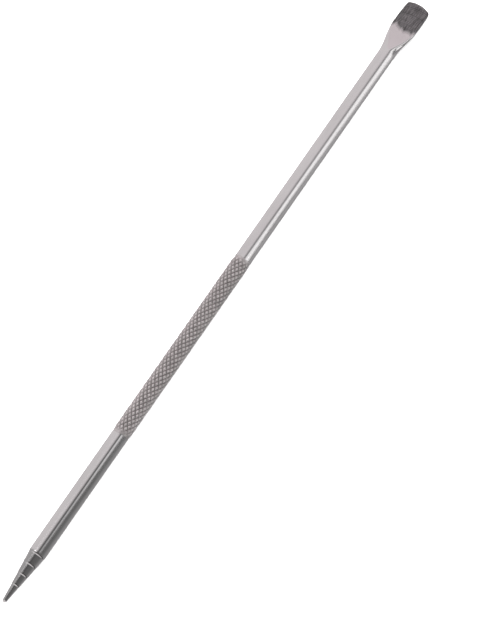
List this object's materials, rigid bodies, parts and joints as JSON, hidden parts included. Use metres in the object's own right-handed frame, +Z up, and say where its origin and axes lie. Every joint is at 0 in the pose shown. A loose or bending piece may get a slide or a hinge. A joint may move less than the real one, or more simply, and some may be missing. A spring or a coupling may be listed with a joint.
{
  "type": "double-ended metal spudger",
  "caption": "Slim steel opening tool: diamond-knurled bar with a stepped tapering point on one end and a flat, slightly bowed prying blade with a cross-cut face on the other.",
  "frame": {"origin": "on the surface the tool lies on, under the middle of its overall box", "axes": "+X along the tool from the stepped point towards the blade, +Z up out of the blade's cross-cut side, +Y across the blade"},
  "size_m": [0.17, 0.0062, 0.0044],
  "materials": {
    "knurled_steel": "satin stainless steel, diamond knurl with bright crests and darker grooves",
    "point_steel": "fine-turned and polished stainless steel with faint turning lines",
    "blade_steel": "polished stainless bar, satin ground blade, dark cross-cut pad near the end"
  },
  "bodies": {
    "root": {"knurled_grip": "knurled_steel", "point_end": "point_steel", "blade_end": "blade_steel"}
  },
  "joints": []
}
